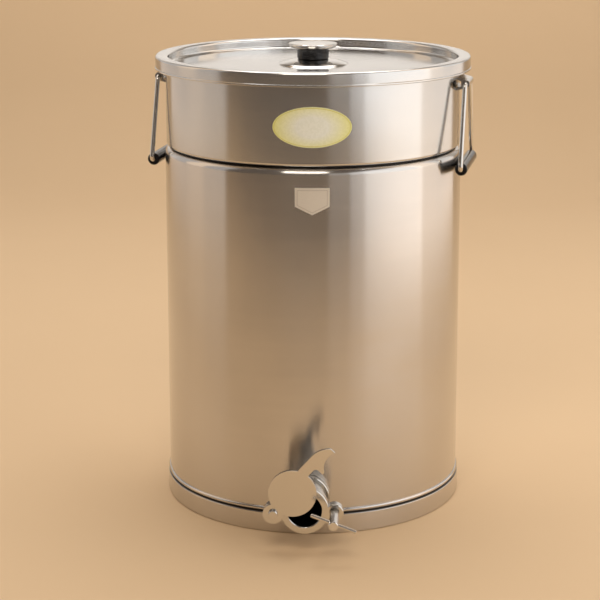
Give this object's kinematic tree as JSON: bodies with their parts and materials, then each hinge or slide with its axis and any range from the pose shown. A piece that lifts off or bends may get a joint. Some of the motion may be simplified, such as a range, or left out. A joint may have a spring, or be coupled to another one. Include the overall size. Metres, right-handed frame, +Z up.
{
  "type": "honey settling tank",
  "caption": "Stainless honey settling tank: cylinder on a base ring, set-in collar, recessed lid with knob, wire bail handles and a swing-blade honey gate with clamp screw.",
  "frame": {"origin": "centre of the base on the floor, on the tank axis", "axes": "+Z up along the tank axis, -Y out of the gate, +X to the right seen from the gate"},
  "size_m": [0.3546, 0.4203, 0.4936],
  "materials": {
    "body_steel": "satin stainless sheet with fine vertical grain",
    "polished_steel": "polished stainless steel",
    "black_plastic": "black moulded plastic",
    "seal_rubber": "soft seal",
    "label_film": "printed film, bare",
    "mark_foil": "thin foil, bare"
  },
  "bodies": {
    "tank": {"tank_body": "body_steel", "tank_floor": "body_steel", "base_ring": "body_steel", "upper_collar": "polished_steel", "outlet_socket": "body_steel", "gate_gasket": "seal_rubber", "gate_lock_ring": "body_steel", "gate_body": "polished_steel", "pivot_bolt": "body_steel", "left_ear": "body_steel", "right_ear": "body_steel", "oval_plate": "label_film", "mark_plate": "mark_foil"},
    "lid": {"lid_pan": "polished_steel", "knob_spacer": "black_plastic", "knob_cap": "polished_steel", "knob_stud": "body_steel", "knob_washer": "body_steel", "knob_nut": "body_steel"},
    "left_bail": {"left_bail": "polished_steel"},
    "left_grip": {"left_grip": "black_plastic"},
    "right_bail": {"right_bail": "polished_steel"},
    "right_grip": {"right_grip": "black_plastic"},
    "blade": {"gate_blade": "polished_steel"},
    "clamp": {"clamp_screw": "polished_steel", "clamp_bar": "body_steel"}
  },
  "joints": [
    {"name": "lid_lift", "type": "slide", "parent": "tank", "child": "lid", "axis": [0, 0, 1], "range_m": [0, 0.2]},
    {"name": "left_bail_swing", "type": "hinge", "parent": "tank", "child": "left_bail", "pos_m": [-0.16396, 0.02597, 0.4551], "axis": [0.1564, 0.9877, 0], "range_deg": [0, 150]},
    {"name": "right_bail_swing", "type": "hinge", "parent": "tank", "child": "right_bail", "pos_m": [0.16396, -0.02597, 0.4551], "axis": [-0.1564, -0.9877, 0], "range_deg": [0, 150]},
    {"name": "left_grip_roll", "type": "hinge", "parent": "left_bail", "child": "left_grip", "pos_m": [-0.16396, 0.02597, 0.3691], "axis": [0.1564, 0.9877, 0], "continuous": true},
    {"name": "right_grip_roll", "type": "hinge", "parent": "right_bail", "child": "right_grip", "pos_m": [0.16396, -0.02597, 0.3691], "axis": [-0.1564, -0.9877, 0], "continuous": true},
    {"name": "blade_swing", "type": "hinge", "parent": "tank", "child": "blade", "pos_m": [-0.0316, -0.215, 0.0433], "axis": [0, -1, 0], "range_deg": [-45, 70]},
    {"name": "clamp_turn", "type": "hinge", "parent": "tank", "child": "clamp", "pos_m": [0.03, -0.215, 0.0438], "axis": [0, -1, 0], "range_deg": [-180, 180]}
  ]
}
